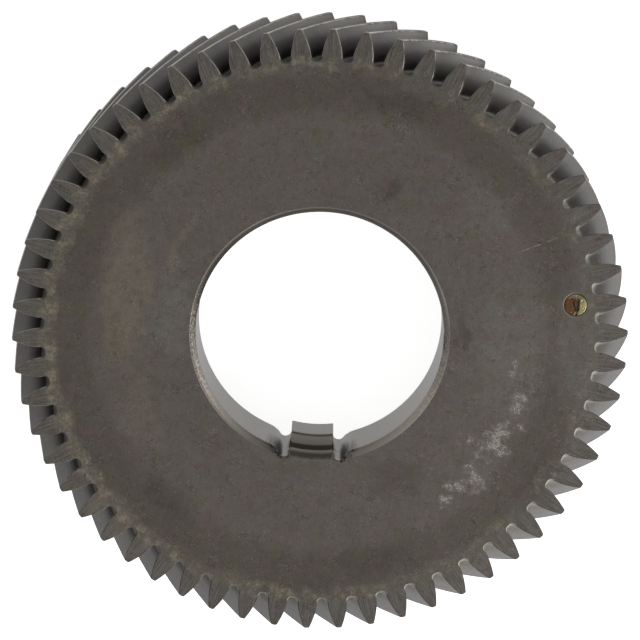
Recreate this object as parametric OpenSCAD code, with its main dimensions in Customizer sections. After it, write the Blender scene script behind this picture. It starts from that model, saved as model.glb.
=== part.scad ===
// Single-helical drive gear with an integral driving tongue in its bore.
// The gear lies on its back: z = 0 is the rear end of the teeth, +Z runs along the axis
// to the plain front face, and the tongue points along -Y.

/* [Teeth] */
// Number of teeth
teeth = 58; // [46:1:68]
// Normal module
normal_module = 3; // [2.6:0.1:3.4]
// Normal pressure angle in degrees
pressure_angle = 15; // [14:0.5:20]
// Helix angle at the pitch circle in degrees, right hand
helix_angle = 25; // [10:1:32]
// Tooth height above the pitch circle, in modules (deep tooth form)
addendum_factor = 1.67; // [1:0.01:1.75]
// Tooth depth below the pitch circle, in modules
dedendum_factor = 1.7; // [1.2:0.01:1.8]
// Fillet radius at the root of a tooth space
root_fillet = 1.3; // [0.6:0.1:1.5]
// Width across the teeth, front to rear
face_width = 42; // [36:1:56]
// Angle from +X to the middle of the first tooth on the front face
first_tooth_angle = 4.6; // [0:0.1:6.2]

/* [Web and rim] */
// Depth of the turned recess in the rear
recess_depth = 15; // [4:1:20]
// Metal left in the rim, under the tooth spaces
rim_wall = 13; // [10:1:16]
// Radius in the bottom corner of the recess
recess_fillet = 3; // [1:0.5:4]
// Chamfer at the mouth of the recess
recess_chamfer = 1; // [0.5:0.1:2]

/* [Bore] */
// Bore diameter
bore_d = 81.5; // [70:0.5:84]
// Chamfer at the front of the bore
front_chamfer = 2; // [1:0.1:3]
// Chamfer at the rear of the bore
rear_chamfer = 1; // [0.5:0.1:2]

/* [Driving tongue] */
// Width of the tongue across its sides
tongue_w = 14; // [10:0.5:18]
// How far the tongue stands into the bore
tongue_h = 3.85; // [2:0.05:6]
// Width of the undercut in front of the tongue
undercut_w = 4.5; // [2:0.1:5]
// Bore wall left between the undercut and the front chamfer
land_w = 4.8; // [3:0.1:7]
// Depth of the undercut below the bore wall
undercut_depth = 1.5; // [0.5:0.1:2]
// Radius of the relief groove beside each side of the tongue
relief_r = 2; // [1:0.1:2.5]
// Depth of the relief grooves below the bore wall
relief_depth = 2.35; // [1.5:0.05:3]
// Radius that blends a relief groove into the bore wall
relief_blend_r = 8; // [4:0.5:10]
// Chamfer where a relief groove meets the front face
relief_chamfer = 0.9; // [0.4:0.1:1.2]

/* [Brass plug] */
// Diameter of the plug
plug_d = 7.2; // [5:0.1:8]
// Depth of the plug in the front face
plug_depth = 12; // [8:1:20]
// Radial clearance of the plug in its hole
plug_clearance = 0.05; // [0.03:0.01:0.1]
// Distance from the tooth roots in to the middle of the plug
plug_inset = 6.6; // [5:0.1:8]
// Angle from +X to the plug
plug_angle = 11; // [0:1:360]
// Chamfer at the mouth of the plug's hole
plug_hole_chamfer = 0.35; // [0.2:0.05:0.5]
// Chamfer round the head of the plug
plug_edge = 0.25; // [0.1:0.05:0.5]
// Width of the screwdriver slot
slot_w = 1.5; // [0.8:0.1:2]
// Depth of the screwdriver slot
slot_depth = 1.3; // [0.8:0.1:2.5]
// Direction of the slot, from +X
slot_angle = 98; // [0:1:180]

/* [Hidden] */

$fn = 96;
eps = 0.5;               // how far a cutter runs past the face it cuts through
flank_steps = 4;         // segments up one involute flank
fillet_steps = 3;        // segments round one root fillet
twist_slices = 4;        // slices along the face width

steel = [0.34, 0.32, 0.30];
brass = [0.70, 0.56, 0.25];

// Tooth geometry in the plane across the axis
transverse_module = normal_module/cos(helix_angle);
transverse_angle = atan(tan(pressure_angle)/cos(helix_angle));
pitch_r = teeth*transverse_module/2;
base_r = pitch_r*cos(transverse_angle);
tip_r = pitch_r + addendum_factor*normal_module;
root_r = pitch_r - dedendum_factor*normal_module;
twist_angle = face_width*tan(helix_angle)/pitch_r*180/PI;
half_pitch = 180/teeth;

// Web, rim and bore
bore_r = bore_d/2;
recess_r = root_r - rim_wall;
web_rear_z = recess_depth;
bore_start_z = web_rear_z + rear_chamfer;
bore_end_z = face_width - front_chamfer;

// Driving tongue and its relief grooves
tongue_top_r = bore_r - tongue_h;
undercut_end_z = bore_end_z - land_w;
tongue_end_z = undercut_end_z - undercut_w;
relief_x = tongue_w/2 + relief_r;
relief_orbit = bore_r + relief_depth - relief_r;
relief_y = sqrt(relief_orbit*relief_orbit - relief_x*relief_x);
relief_turn = asin(relief_x/relief_orbit);

// Brass plug
plug_orbit = root_r - plug_inset;

// Angle of the involute, in degrees, between the base circle and radius r
function involute(r) =
    let (a = acos(min(1, base_r/r))) tan(a)*180/PI - a;

// Half the angle that a tooth takes up at radius r
tooth_angle_base = 90/teeth + involute(pitch_r);
function half_tooth(r) = tooth_angle_base - involute(r);

function polar(r, a) = [r*cos(a), r*sin(a)];

// The fillet is an arc that touches the flank and the root circle.
// A line parallel to an involute is the same involute turned about the axis.
fillet_r = min(root_fillet, root_r*sin(half_pitch - tooth_angle_base)*0.9);
fillet_orbit = root_r + fillet_r;
above_base = fillet_orbit > base_r;
string_l = above_base ? sqrt(fillet_orbit*fillet_orbit - base_r*base_r) : 0;
on_involute = string_l > fillet_r;
contact_r = on_involute
    ? sqrt(base_r*base_r + pow(string_l - fillet_r, 2))
    : sqrt(fillet_orbit*fillet_orbit - fillet_r*fillet_r);
fillet_turn = on_involute
    ? half_tooth(fillet_orbit) + fillet_r/base_r*180/PI
    : tooth_angle_base + asin(fillet_r/fillet_orbit);

// Points of one flank, from the root circle to the tip, for a tooth about the +X axis
function flank() =
    let (centre = polar(fillet_orbit, fillet_turn),
         touch = polar(contact_r, half_tooth(contact_r)) - centre,
         foot = -centre/norm(centre),
         from = atan2(foot[1], foot[0]),
         turn = atan2(touch[1], touch[0]) - from,
         sweep = turn > 180 ? turn - 360 : turn < -180 ? turn + 360 : turn)
    concat(
        [for (i = [0 : fillet_steps - 1])
            centre + polar(fillet_r, from + sweep*i/fillet_steps)],
        [for (i = [0 : flank_steps])
            let (r = contact_r + (tip_r - contact_r)*i/flank_steps)
            polar(r, half_tooth(r))]
    );

function turned(p, a) = [p[0]*cos(a) - p[1]*sin(a), p[0]*sin(a) + p[1]*cos(a)];

// Outline of the whole toothed rim, counter-clockwise
function gear_outline() =
    let (up = flank(), n = len(up))
    [for (k = [0 : teeth - 1], i = [0 : 2*n - 1])
        let (p = i < n ? [up[i][0], -up[i][1]] : up[2*n - 1 - i])
        turned(p, k*360/teeth)];

module toothed_blank() {
    rotate([0, 0, first_tooth_angle - twist_angle])
        linear_extrude(height = face_width, twist = -twist_angle, slices = twist_slices)
            polygon(gear_outline());
}

// Half section of the metal that the lathe takes out: the bore with its two chamfers
// and the stepped recess with a round corner
module turned_section() {
    corner = [recess_r - recess_fillet, web_rear_z - recess_fillet];
    polygon(concat(
        [[0, -eps],
         [recess_r + recess_chamfer + eps, -eps],
         [recess_r, recess_chamfer]],
        [for (a = [0 : 15 : 90]) corner + polar(recess_fillet, a)],
        [[bore_r + rear_chamfer, web_rear_z],
         [bore_r, bore_start_z],
         [bore_r, bore_end_z],
         [bore_r + front_chamfer + eps, face_width + eps],
         [0, face_width + eps]]
    ));
}

// The metal that stays in the bore: a block with flat sides and a hollow top
module tongue() {
    difference() {
        translate([-tongue_w/2, -bore_r - eps, bore_start_z])
            cube([tongue_w, tongue_h + 2*eps, tongue_end_z - bore_start_z]);
        translate([0, 0, web_rear_z])
            cylinder(r = tongue_top_r, h = face_width);
    }
}

// Relief groove beside the tongue: a round bottom that meets the tongue's side,
// then a long blend out to the bore wall
module relief_profile() {
    blend_orbit = bore_r + relief_blend_r;
    reach = relief_r + relief_blend_r;
    cos_step = (relief_orbit*relief_orbit + blend_orbit*blend_orbit - reach*reach)
        /(2*relief_orbit*blend_orbit);
    blend_turn = relief_turn + acos(cos_step);
    bottom = [relief_x, -relief_y];
    blend = [blend_orbit*sin(blend_turn), -blend_orbit*cos(blend_turn)];
    translate(bottom)
        circle(r = relief_r);
    difference() {
        polygon([[tongue_w/2, -tongue_top_r], [tongue_w/2, -relief_y], bottom, blend,
                 blend*tongue_top_r/blend_orbit]);
        translate(blend)
            circle(r = relief_blend_r);
    }
}

module relief_groove() {
    translate([0, 0, web_rear_z - eps])
        linear_extrude(height = face_width - web_rear_z + 2*eps)
            relief_profile();
    translate([relief_x, -relief_y, face_width - relief_chamfer])
        cylinder(r1 = relief_r, r2 = relief_r + relief_chamfer + eps, h = relief_chamfer + eps);
}

// Turned undercut across the foot of the tongue's front end
module undercut() {
    intersection() {
        translate([0, 0, tongue_end_z])
            cylinder(r = bore_r + undercut_depth, h = undercut_w);
        translate([-tongue_w/2, -bore_r - undercut_depth - eps, tongue_end_z])
            cube([tongue_w, undercut_depth + tongue_h + eps, undercut_w]);
    }
}

module plug_hole() {
    hole_r = plug_d/2 + plug_clearance;
    translate([0, 0, face_width - plug_depth])
        cylinder(r = hole_r, h = plug_depth + eps);
    translate([0, 0, face_width - plug_hole_chamfer])
        cylinder(r1 = hole_r, r2 = hole_r + plug_hole_chamfer + eps, h = plug_hole_chamfer + eps);
}

module at_plug() {
    rotate([0, 0, plug_angle])
        translate([plug_orbit, 0, 0])
            rotate([0, 0, -plug_angle])
                children();
}

// The gear: one piece of steel
module gear() {
    color(steel)
        difference() {
            toothed_blank();
            difference() {
                rotate_extrude() turned_section();
                tongue();
            }
            relief_groove();
            mirror([1, 0, 0]) relief_groove();
            undercut();
            at_plug() plug_hole();
        }
}

// The plug: a slotted brass screw, flush with the front face
module brass_plug() {
    color(brass)
        at_plug()
            difference() {
                union() {
                    translate([0, 0, face_width - plug_depth])
                        cylinder(d = plug_d, h = plug_depth - plug_edge);
                    translate([0, 0, face_width - plug_edge])
                        cylinder(d1 = plug_d, d2 = plug_d - 2*plug_edge, h = plug_edge);
                }
                rotate([0, 0, slot_angle])
                    translate([-plug_d, -slot_w/2, face_width - slot_depth])
                        cube([2*plug_d, slot_w, slot_depth + eps]);
            }
}

gear();
brass_plug();
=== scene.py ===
# A single-helical drive gear lying on its back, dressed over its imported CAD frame.
from functools import partial
from math import acos, asin, atan2, cos, hypot, pi, radians, sin, sqrt, tan
import bmesh
import bpy
from mathutils import Matrix, Vector


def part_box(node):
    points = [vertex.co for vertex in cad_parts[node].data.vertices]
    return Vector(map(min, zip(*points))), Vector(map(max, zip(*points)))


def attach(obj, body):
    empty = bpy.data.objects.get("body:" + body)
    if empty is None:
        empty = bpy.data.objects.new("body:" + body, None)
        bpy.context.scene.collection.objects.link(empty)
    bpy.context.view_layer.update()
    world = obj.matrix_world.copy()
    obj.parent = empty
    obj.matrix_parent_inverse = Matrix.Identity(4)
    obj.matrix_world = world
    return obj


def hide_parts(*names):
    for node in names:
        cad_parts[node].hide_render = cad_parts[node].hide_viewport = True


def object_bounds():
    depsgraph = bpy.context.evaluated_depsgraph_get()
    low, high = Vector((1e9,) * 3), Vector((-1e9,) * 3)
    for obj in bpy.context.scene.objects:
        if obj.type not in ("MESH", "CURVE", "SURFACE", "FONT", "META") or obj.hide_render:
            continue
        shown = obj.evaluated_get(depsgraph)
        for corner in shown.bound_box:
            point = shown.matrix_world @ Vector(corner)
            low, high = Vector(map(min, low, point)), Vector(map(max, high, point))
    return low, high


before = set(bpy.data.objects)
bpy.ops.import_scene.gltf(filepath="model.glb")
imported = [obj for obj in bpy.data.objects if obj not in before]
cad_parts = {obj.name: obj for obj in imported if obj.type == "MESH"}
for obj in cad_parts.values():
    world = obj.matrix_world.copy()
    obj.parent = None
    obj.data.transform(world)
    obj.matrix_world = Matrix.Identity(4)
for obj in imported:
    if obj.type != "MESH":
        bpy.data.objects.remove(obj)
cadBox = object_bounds()
mm = 0.001
faceWidth = (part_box("gear")[1].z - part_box("gear")[0].z) / mm
print("frame loaded: gear", round(faceWidth, 2), "mm wide")


def linear(hexColour):
    # sRGB hex to the linear values that shaders take
    parts = [int(hexColour[i:i + 2], 16) / 255 for i in (1, 3, 5)]
    return tuple(c / 12.92 if c <= 0.04045 else ((c + 0.055) / 1.055) ** 2.4 for c in parts) + (1.0,)


def addNode(tree, kind, inputs=(), choice=None, **settings):
    # adds a node, sets its properties, and fills its inputs with values, hex colours, sockets or other
    # nodes: a list fills them from the top and a dictionary by name; the choice is a maths node's
    # operation or a mix's data type
    node = tree.nodes.new(kind if "Node" in kind else "ShaderNode" + kind)
    if choice:
        setattr(node, "operation" if "Math" in kind else "data_type", choice)
    for name, value in settings.items():
        setattr(node, name, value)
    sockets = [socket for socket in node.inputs if socket.enabled]
    if isinstance(inputs, dict):
        sockets = [next(socket for socket in sockets if socket.name == name) for name in inputs]
        inputs = inputs.values()
    for socket, value in zip(sockets, inputs):
        if isinstance(value, bpy.types.Node):
            value = next(output for output in value.outputs if output.enabled)
        if isinstance(value, str) and value.startswith("#"):
            value = linear(value)
        if isinstance(value, bpy.types.NodeSocket):
            tree.links.new(value, socket)
        else:
            socket.default_value = value
    return node


def newGroup(name, kind, inputs, outputs):
    # an empty node group with these sockets, a way to add nodes to it, and its inputs' identifiers
    tree = bpy.data.node_groups.new(name, kind)
    names = {}
    for side, sockets in (("INPUT", inputs), ("OUTPUT", outputs)):
        for label, form in sockets.items():
            socket = tree.interface.new_socket(name=label, in_out=side, socket_type="NodeSocket" + form)
            names.setdefault(label, socket.identifier)
    return tree, partial(addNode, tree), names


def emptied(owner):
    # a way to add nodes to the tree of a material or world, which starts empty
    owner.use_nodes = True
    owner.node_tree.nodes.clear()
    return partial(addNode, owner.node_tree)


def inScene(name, data):
    thing = bpy.data.objects.new(name, data)
    bpy.context.scene.collection.objects.link(thing)
    return thing


# Tooth form
toothSizes = {
    "teeth": 58,
    "normalModule": 3.0,
    "pressureAngle": 15.0,
    "helixAngle": 25.0,  # right hand, at the pitch circle
    "addendum": 1.67,  # in modules, a deep tooth
    "dedendum": 1.7,
    "rootFillet": 1.3,
    "firstTooth": 4.6,  # degrees from +X, on the front face
    "crestRound": 0.4,  # the crest's corners, worn round
    "crestWear": 0.02,  # and what the crest itself has lost
    "endBreak": 0.17,  # the broken edge round each tooth end
    "rootBreak": 0.7,  # and the wider one at the bottom of each space
    "rootReach": 1.5,  # how far up the space that one runs
    "rootSteps": 2,
    "filletSteps": 5,
    "flankSteps": 9,
    "crestSteps": 4,
    "sliceCount": 10,  # along the face width
    "weld": 0.01,
}
pitchR = toothSizes["teeth"] * toothSizes["normalModule"] / cos(radians(toothSizes["helixAngle"])) / 2
tipR = pitchR + toothSizes["addendum"] * toothSizes["normalModule"] - toothSizes["crestWear"]
rootR = pitchR - toothSizes["dedendum"] * toothSizes["normalModule"]
twistRate = tan(radians(toothSizes["helixAngle"])) / pitchR  # radians for each mm along the axis


def polar(r, a):
    return Vector((r * cos(a), r * sin(a)))


def arcPoints(centre, radius, start, end, steps):
    turn = (end - start + pi) % (2 * pi) - pi
    return [centre + polar(radius, start + turn * i / steps) for i in range(steps + 1)]


def toothOutline(sizes):
    # one tooth about +X, counter-clockwise from the middle of one space to the middle of the next,
    # with the numbers of the segments that make the crest's two corners
    beta = radians(sizes["helixAngle"])
    baseR = pitchR * cos(atan2(tan(radians(sizes["pressureAngle"])), cos(beta)))
    fillet = sizes["rootFillet"]

    def halfTooth(r):
        spread = [sqrt(max(q * q - baseR * baseR, 0)) / baseR for q in (pitchR, r)]
        involute = [s - atan2(s, 1) for s in spread]
        return pi / 2 / sizes["teeth"] + involute[0] - involute[1]

    orbit = rootR + fillet
    contactR = hypot(baseR, sqrt(orbit * orbit - baseR * baseR) - fillet)
    filletTurn = halfTooth(orbit) + fillet / baseR
    centre = polar(orbit, filletTurn)
    touch = polar(contactR, halfTooth(contactR)) - centre
    halfPitch = pi / sizes["teeth"]
    half = [polar(rootR, halfPitch + (filletTurn - halfPitch) * i / sizes["rootSteps"])
            for i in range(sizes["rootSteps"])]
    ends = atan2(-centre.y, -centre.x), atan2(touch.y, touch.x)
    half += arcPoints(centre, fillet, *ends, sizes["filletSteps"])
    topR = tipR - sizes["crestRound"]
    half += [polar(r, halfTooth(r)) for i in range(1, sizes["flankSteps"] + 1)
             for r in [contactR + (topR - contactR) * i / sizes["flankSteps"]]]
    corner = polar(tipR, halfTooth(tipR))
    land = polar(tipR, halfTooth(tipR) - sizes["crestRound"] / tipR)
    first = len(half) - 1
    for i in range(1, sizes["crestSteps"] + 1):
        t = i / sizes["crestSteps"]
        half.append(half[first] * (1 - t) ** 2 + corner * 2 * t * (1 - t) + land * t * t)
    half.append(polar(tipR, 0))
    outline = [Vector((p.x, -p.y)) for p in half] + half[-2::-1]
    count = len(outline) - 1
    crest = set(range(first, first + sizes["crestSteps"]))
    return outline, crest | {count - 1 - j for j in crest}


def intoMetal(outline):
    # at each point of the outline, the direction across it into the metal
    pitch = Matrix.Rotation(2 * pi / toothSizes["teeth"], 2)
    ring = [pitch.inverted() @ outline[-2]] + outline + [pitch @ outline[1]]
    steps = [(after - before).normalized() for before, after in zip(ring, ring[2:])]
    return [Vector((-step.y, step.x)) for step in steps]


def addRings(bm, rows, closed=True, inward=False, steel=0):
    # faces between rows of points in mm, looking away from the axis or towards it
    rings = [[bm.verts.new(Vector(p) * mm) for p in row] for row in rows]
    count = len(rows[0])
    made = []
    for low, high in zip(rings, rings[1:]):
        for j in range(count if closed else count - 1):
            corners = [low[j], low[(j + 1) % count], high[(j + 1) % count], high[j]]
            face = bm.faces.new(corners[::-1] if inward else corners)
            face.smooth = True
            face.material_index = steel
            made.append(face)
    return made


def oneTooth(sizes):
    # the skin of one straight tooth, its end edges broken; the tree below repeats and twists it
    outline, crest = toothOutline(sizes)
    inward = intoMetal(outline)
    narrow, wide, reach = sizes["endBreak"], sizes["rootBreak"], sizes["rootReach"]
    widths = [narrow + (wide - narrow) * max(0, 1 - (p.length - rootR) / reach) for p in outline]
    soft = 1 - sqrt(0.5)  # how far a round edge is in at 45 degrees
    levels = [(1, 0), (soft, soft), (0, 1)]
    ends = [[(*(p + side * inset * w), up * w) for p, side, w in zip(outline, inward, widths)]
            for inset, up in levels]
    steps = sizes["sliceCount"]
    slices = [[(p.x, p.y, w + (faceWidth - 2 * w) * i / steps) for p, w in zip(outline, widths)]
              for i in range(1, steps)]
    rows = ends + slices + [[(x, y, faceWidth - z) for x, y, z in row] for row in reversed(ends)]
    bm = bmesh.new()
    worn = bm.faces.layers.bool.new("worn")
    faces = addRings(bm, rows, closed=False)
    columns = len(outline) - 1
    for n, face in enumerate(faces):
        level, column = divmod(n, columns)
        face[worn] = level < len(levels) - 1 or level >= len(rows) - len(levels) or column in crest
    mesh = bpy.data.meshes.new("oneTooth")
    bm.to_mesh(mesh)
    bm.free()
    return mesh


def toothTree():
    # Geometry Nodes: one tooth, repeated round the axis and laid along the helix
    inputs = {"Geometry": "Geometry", "Teeth": "Int", "First Tooth": "Float", "Twist Rate": "Float",
              "Face Width": "Float", "Weld Distance": "Float",
              "Flank Steel": "Material", "Edge Steel": "Material"}
    tree, add, names = newGroup("helicalTeeth", "GeometryNodeTree", inputs, {"Geometry": "Geometry"})
    tree.is_modifier = True
    given = add("NodeGroupInput").outputs
    places = add("GeometryNodeMeshLine", {"Count": given["Teeth"], "Offset": (0, 0, 0)})
    index = add("GeometryNodeInputIndex")
    pitch = add("Math", [2 * pi, given["Teeth"]], "DIVIDE")
    turn = add("Math", [index, pitch, given["First Tooth"]], "MULTIPLY_ADD")
    euler = add("CombineXYZ", {"Z": turn})
    turned = add("FunctionNodeEulerToRotation", {"Euler": euler})
    ring = add("GeometryNodeInstanceOnPoints",
               {"Points": places, "Instance": given["Geometry"], "Rotation": turned})
    real = add("GeometryNodeRealizeInstances", {"Geometry": ring})
    place = add("GeometryNodeInputPosition")
    height = add("SeparateXYZ", [place]).outputs["Z"]
    behind = add("Math", [height, given["Face Width"]], "SUBTRACT")
    lean = add("Math", [behind, given["Twist Rate"]], "MULTIPLY")
    onHelix = add("VectorRotate", {"Vector": place, "Angle": lean}, rotation_type="Z_AXIS")
    laid = add("GeometryNodeSetPosition", {"Geometry": real, "Position": onHelix})
    welded = add("GeometryNodeMergeByDistance", {"Geometry": laid, "Distance": given["Weld Distance"]})
    flanks = add("GeometryNodeSetMaterial", {"Geometry": welded, "Material": given["Flank Steel"]})
    worn = add("GeometryNodeInputNamedAttribute", {"Name": "worn"}, data_type="BOOLEAN")
    edges = add("GeometryNodeSetMaterial",
                {"Geometry": flanks, "Selection": worn, "Material": given["Edge Steel"]})
    add("NodeGroupOutput", {"Geometry": edges})
    return tree, names


def toothedRing(sizes, flankSteel, edgeSteel):
    tooth = inScene("oneTooth", oneTooth(sizes))
    tooth.data.materials.append(flankSteel)
    tree, names = toothTree()
    modifier = tooth.modifiers.new("helicalTeeth", "NODES")
    modifier.node_group = tree
    inputs = {"Teeth": sizes["teeth"], "First Tooth": radians(sizes["firstTooth"]),
              "Twist Rate": twistRate / mm, "Face Width": faceWidth * mm,
              "Weld Distance": sizes["weld"] * mm, "Flank Steel": flankSteel, "Edge Steel": edgeSteel}
    for name, value in inputs.items():
        modifier[names[name]] = value
    depsgraph = bpy.context.evaluated_depsgraph_get()
    mesh = bpy.data.meshes.new_from_object(tooth.evaluated_get(depsgraph))
    bpy.data.objects.remove(tooth)
    return mesh


# Bore, tongue and recess
bodySizes = {
    "boreR": 40.75,
    "frontChamfer": 1.8,
    "rearChamfer": 1.0,
    "webRear": 15.0,  # depth of the recess in the back
    "recessR": 77.89,
    "recessFillet": 3.0,
    "recessChamfer": 1.0,
    "tongueHalf": 7.0,
    "tongueHeight": 3.85,
    "tongueEnd": 30.7,
    "undercutEnd": 35.2,
    "undercutDepth": 1.5,
    "reliefR": 2.0,  # the groove beside the tongue
    "reliefDepth": 2.35,
    "reliefBlend": 8.0,
    "reliefChamfer": 0.9,
    "edge": 0.2,  # worn edges
    "tongueRound": 0.4,
    "plugOrbit": 84.29,
    "plugAngle": 11.0,
    "plugHoleR": 3.65,
    "plugHoleChamfer": 0.35,
    "plugHoleDepth": 12.0,
    "landSteps": 8, "grooveSteps": 12, "blendSteps": 9, "wallSteps": 80,  # round half the bore
    "recessSpokes": 200, "holeSpokes": 64,
    "weld": 0.002,
    "sharpAngle": 50,
}
plugCentre = polar(bodySizes["plugOrbit"], radians(bodySizes["plugAngle"]))


def aroundFromTongue(r, t):
    # a point at angle t from the tongue, which points along -Y
    return Vector((r * sin(t), -r * cos(t)))


def boreRing(sizes, wallR, landR, grow=0.0):
    # the bore's outline at one height: tongue or land, relief groove, blend and wall, then mirrored
    half = sizes["tongueHalf"]
    grooveR = sizes["reliefR"] + grow
    grooveOrbit = sizes["boreR"] + sizes["reliefDepth"] - sizes["reliefR"]
    grooveTurn = asin((half + sizes["reliefR"]) / grooveOrbit)
    groove = aroundFromTongue(grooveOrbit, grooveTurn)
    out, across = groove.normalized(), Vector((cos(grooveTurn), sin(grooveTurn)))
    blendOrbit = sizes["boreR"] + sizes["reliefBlend"]
    reach = sizes["reliefR"] + sizes["reliefBlend"]
    step = acos((grooveOrbit ** 2 + blendOrbit ** 2 - reach ** 2) / (2 * grooveOrbit * blendOrbit))
    blend = aroundFromTongue(blendOrbit, grooveTurn + step)
    toBlend = blend - groove
    grooveEnd = atan2(toBlend.dot(across), toBlend.dot(out))
    if landR < hypot(half, groove.y):  # the tongue stands up into the bore
        corner = sizes["tongueRound"]
        landTurn = asin((half - corner) / landR)
        centre = aroundFromTongue(landR, landTurn) - Vector((0, corner))
        side = [centre + polar(corner, radians(a)) for a in (90, 60, 30, 0)]
        side += [Vector((half, side[-1].y * (1 - t) + groove.y * t)) for t in (0.5, 1.0)]
        grooveStart = -pi / 2 - grooveTurn
    else:
        gap = (landR ** 2 - grooveOrbit ** 2 - grooveR ** 2) / (2 * grooveOrbit * grooveR)
        grooveStart = -acos(gap)
        joint = groove + (out * cos(grooveStart) + across * sin(grooveStart)) * grooveR
        landTurn = atan2(joint.x, -joint.y)
        side = [joint] * 6  # as many points as the tongue's side has
    steps = sizes["landSteps"]
    points = [aroundFromTongue(landR, landTurn * i / steps) for i in range(steps)] + side
    for i in range(1, sizes["grooveSteps"] + 1):
        a = grooveStart + (grooveEnd - grooveStart) * i / sizes["grooveSteps"]
        p = groove + (out * cos(a) + across * sin(a)) * grooveR
        points.append(p * max(1, wallR / p.length) if a > 0 else p)
    ends = atan2(-toBlend.y, -toBlend.x), atan2(-blend.y, -blend.x)
    for p in arcPoints(blend, sizes["reliefBlend"], *ends, sizes["blendSteps"])[1:]:
        points.append(p * max(1, wallR / p.length))
    start, steps = grooveTurn + step, sizes["wallSteps"]
    points += [aroundFromTongue(wallR, start + (pi - start) * i / steps) for i in range(1, steps + 1)]
    return points + [Vector((-p.x, p.y)) for p in points[-2:0:-1]]


def boreRows(sizes):
    # heights with the radius of the wall, that of the land or tongue between the grooves, and what the
    # grooves grow by
    r, e, w = sizes["boreR"], sizes["edge"], sizes["tongueRound"]
    slant = e * sqrt(0.5)
    bend = w * 0.3  # a round corner's middle, in from both of its sides
    run, runIn, runUp = w * 2, w * 0.6, w * 0.5  # the land's edge slopes this far, by way of this point
    rear, front = sizes["webRear"], faceWidth
    tongueR = r - sizes["tongueHeight"]
    floorR = r + sizes["undercutDepth"]
    rearEdge, frontEdge = rear + sizes["rearChamfer"], front - sizes["frontChamfer"]
    wide, wideFront = r + sizes["rearChamfer"], r + sizes["frontChamfer"]
    end, gap, flare = sizes["tongueEnd"], sizes["undercutEnd"], sizes["reliefChamfer"]
    table = [
        (rear, wide + e, wide + e),
        (rear + slant, wide - slant, wide - slant),
        (rearEdge - slant, r + slant, r + slant),
        (rearEdge, r + slant / 2, r + slant / 2),
        (rearEdge, r + slant / 2, tongueR + w),
        (rearEdge + bend, r, tongueR + bend),
        (rearEdge + w, r, tongueR),
        (end - w, r, tongueR),
        (end - bend, r, tongueR + bend),
        (end, r, tongueR + w),
        (end, r, floorR - w),
        (end + bend, r, floorR - bend),
        (end + w, r, floorR),
        (gap - w, r, floorR),
        (gap - bend, r, floorR - bend),
        (gap, r, floorR - w),
        (gap, r, r + run),
        (gap + runIn, r, r + runUp),
        (gap + run, r, r),
        (frontEdge - e, r, r),
        (frontEdge + slant, r + slant, r + slant),
        (front - flare, wideFront - flare, wideFront - flare),
        (front - slant, wideFront - slant, wideFront - slant, flare - slant),
        (front, wideFront + e, wideFront + e, flare),
    ]
    return [[(p.x, p.y, z) for p in boreRing(sizes, *radii)] for z, *radii in table]


def circleRow(r, z, count, centre=Vector((0, 0))):
    return [(*(centre + polar(r, 2 * pi * i / count)), z) for i in range(count)]


def recessRows(sizes):
    r, c, f, e = sizes["recessR"], sizes["recessChamfer"], sizes["recessFillet"], sizes["edge"]
    slant = e * sqrt(0.5)
    corner = Vector((r - f, sizes["webRear"] - f))
    section = [(r + c + e, 0), (r + c - slant, slant), (r + slant, c - slant), (r, c + e)]
    quarter = range(0, 91, 15)
    section += [tuple(corner + polar(f, radians(a))) for a in quarter]
    return [circleRow(x, z, sizes["recessSpokes"]) for x, z in section]


def fillFlat(bm, z, up, steel):
    # a flat face between every open edge that lies at this height
    level, near = z * mm, 1e-7
    edges = [e for e in bm.edges if e.is_boundary and all(abs(v.co.z - level) < near for v in e.verts)]
    made = bmesh.ops.triangle_fill(bm, edges=edges, use_beauty=True, normal=(0, 0, 1 if up else -1))
    for face in (f for f in made["geom"] if isinstance(f, bmesh.types.BMFace)):
        if (face.normal.z > 0) != up:
            face.normal_flip()
        face.smooth = False
        face.material_index = steel


def makeGear(steels):
    mesh = toothedRing(toothSizes, steels["flank"], steels["edge"])
    for name in ("face", "bore", "recess"):
        mesh.materials.append(steels[name])
    face, bore, recess = 2, 3, 4  # the teeth came with two
    bm = bmesh.new()
    bm.from_mesh(mesh)
    s = bodySizes
    addRings(bm, boreRows(s), inward=True, steel=bore)
    addRings(bm, recessRows(s), inward=True, steel=recess)
    holeFloor = faceWidth - s["plugHoleDepth"]
    r, chamfer = s["plugHoleR"], s["plugHoleChamfer"]
    hole = [circleRow(r, holeFloor, s["holeSpokes"], plugCentre),
            circleRow(r, faceWidth - chamfer, s["holeSpokes"], plugCentre),
            circleRow(r + chamfer, faceWidth, s["holeSpokes"], plugCentre)]
    for wall in addRings(bm, hole, inward=True, steel=face):
        wall.smooth = False
    bmesh.ops.remove_doubles(bm, verts=bm.verts, dist=s["weld"] * mm)
    bmesh.ops.dissolve_degenerate(bm, edges=bm.edges, dist=s["weld"] * mm)
    fillFlat(bm, faceWidth, True, face)
    fillFlat(bm, 0, False, face)
    fillFlat(bm, s["webRear"], False, recess)
    fillFlat(bm, holeFloor, True, face)
    for edge in bm.edges:
        edge.smooth = len(edge.link_faces) == 2 and edge.calc_face_angle(0) < radians(s["sharpAngle"])
    triangles = sum(len(f.verts) - 2 for f in bm.faces)
    openEdges = sum(not e.is_manifold for e in bm.edges)
    print("gear:", len(bm.faces), "faces,", triangles, "triangles,", openEdges, "open edges")
    bm.to_mesh(mesh)
    bm.free()
    gear = inScene("helicalGear", mesh)
    weighted = gear.modifiers.new("flatFaces", "WEIGHTED_NORMAL")
    weighted.keep_sharp = True
    return gear


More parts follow.
